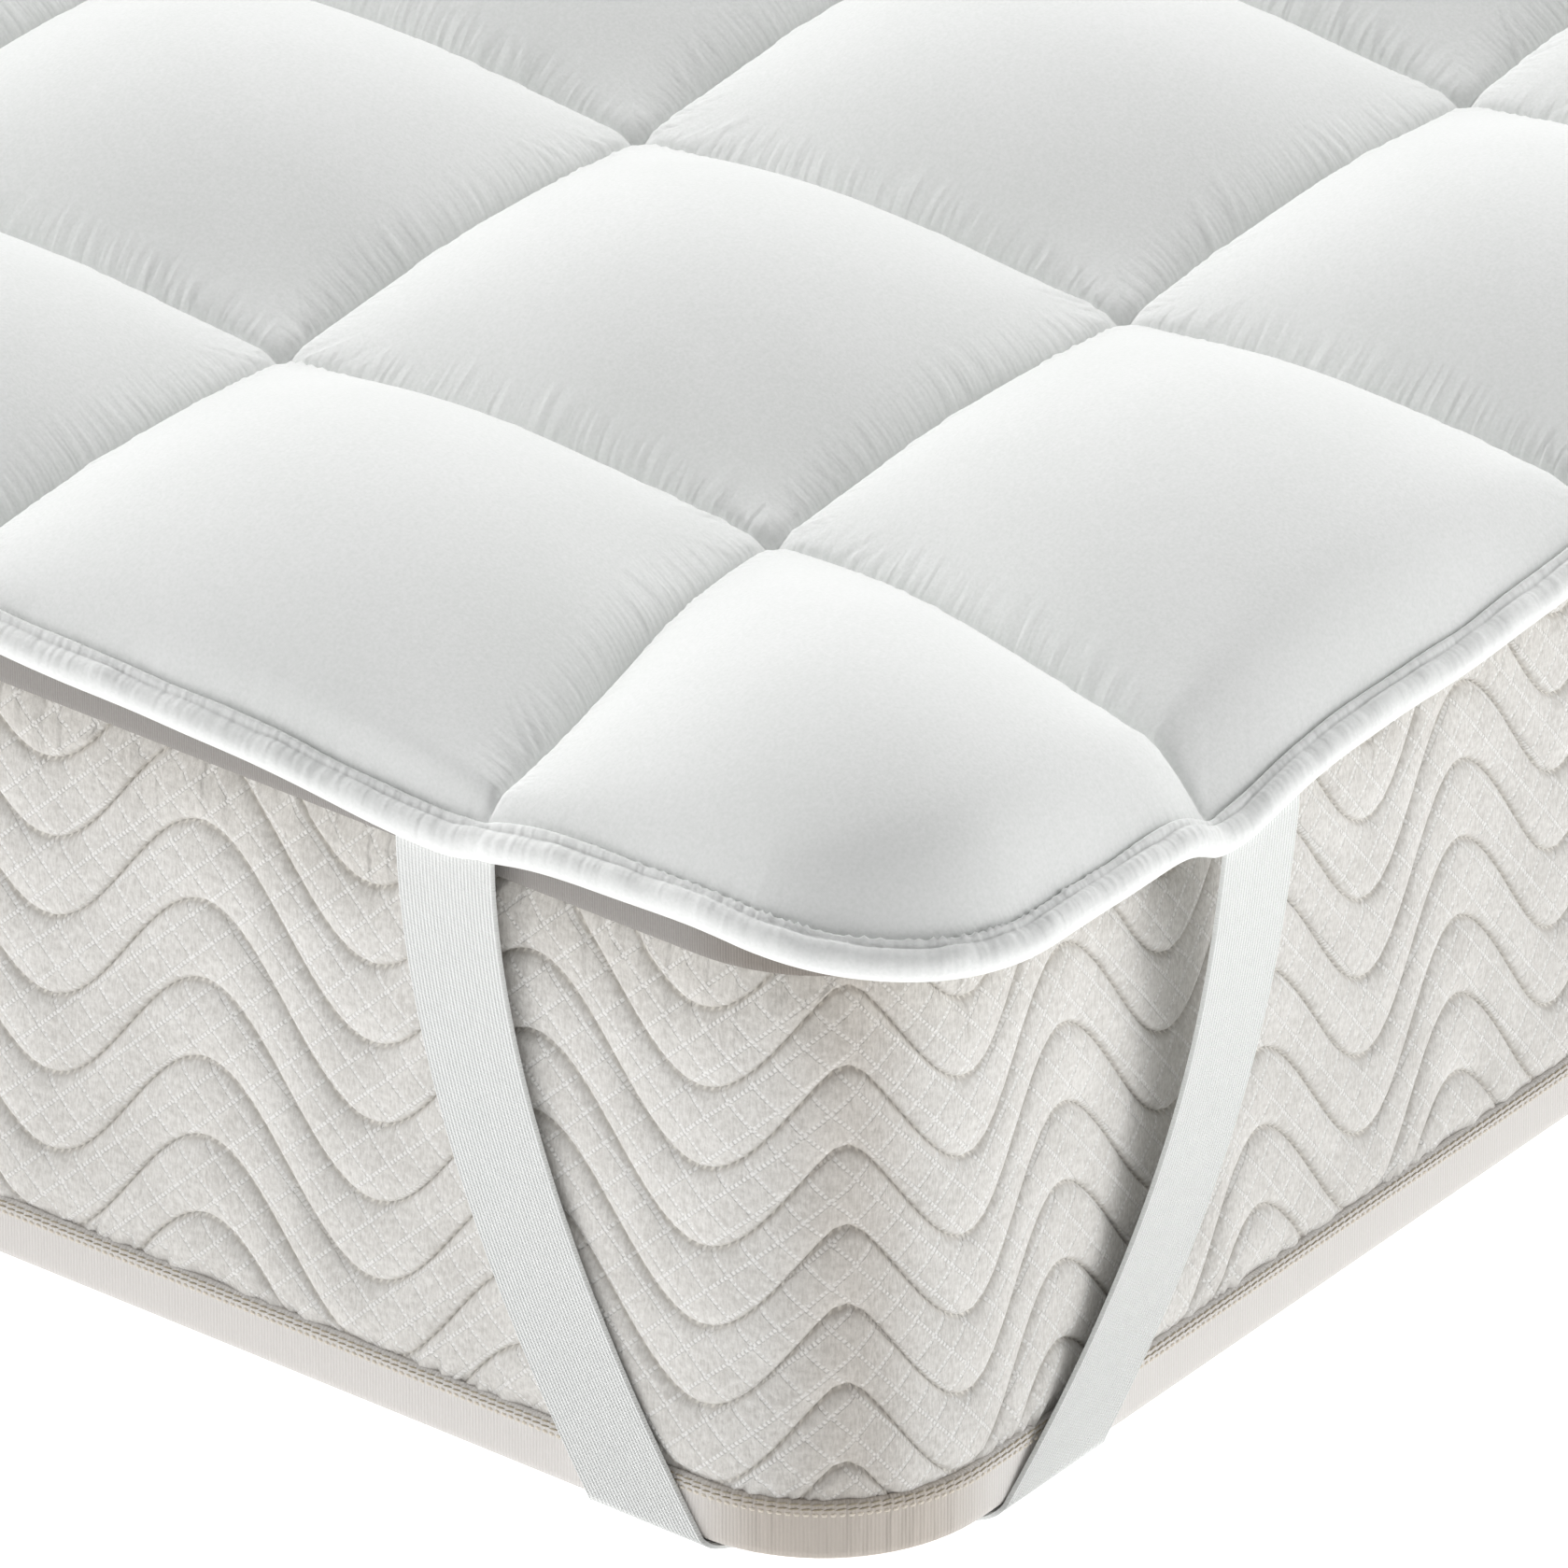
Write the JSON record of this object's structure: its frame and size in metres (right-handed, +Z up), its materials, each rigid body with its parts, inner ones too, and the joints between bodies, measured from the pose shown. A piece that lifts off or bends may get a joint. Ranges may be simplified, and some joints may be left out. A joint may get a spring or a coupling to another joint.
{
  "type": "mattress topper on a mattress",
  "caption": "Box-quilted filled mattress topper with a padded edge roll, held on a plain mattress by an elastic strap round each corner.",
  "frame": {"origin": "middle of the mattress's underside, on the surface it rests on", "axes": "+Y along the length of the mattress, +X across it, +Z up out of the quilted face"},
  "size_m": [0.9286, 1.9626, 0.2803],
  "materials": {
    "white_microfibre": "brushed polyester microfibre, fine plain weave, slight sheen",
    "white_elastic": "woven elastic webbing with fine lengthwise ribs",
    "cream_ticking": "quilted jacquard ticking, matt, with a small check",
    "twill_tape": "woven twill binding tape, matt"
  },
  "bodies": {
    "root": {"topper_pad": "white_microfibre", "topper_binding": "white_microfibre", "corner_strap_front_left": "white_elastic", "corner_strap_front_right": "white_elastic", "corner_strap_back_left": "white_elastic", "corner_strap_back_right": "white_elastic", "mattress_body": "cream_ticking", "mattress_tape_bottom": "twill_tape", "mattress_tape_top": "twill_tape"}
  },
  "joints": []
}
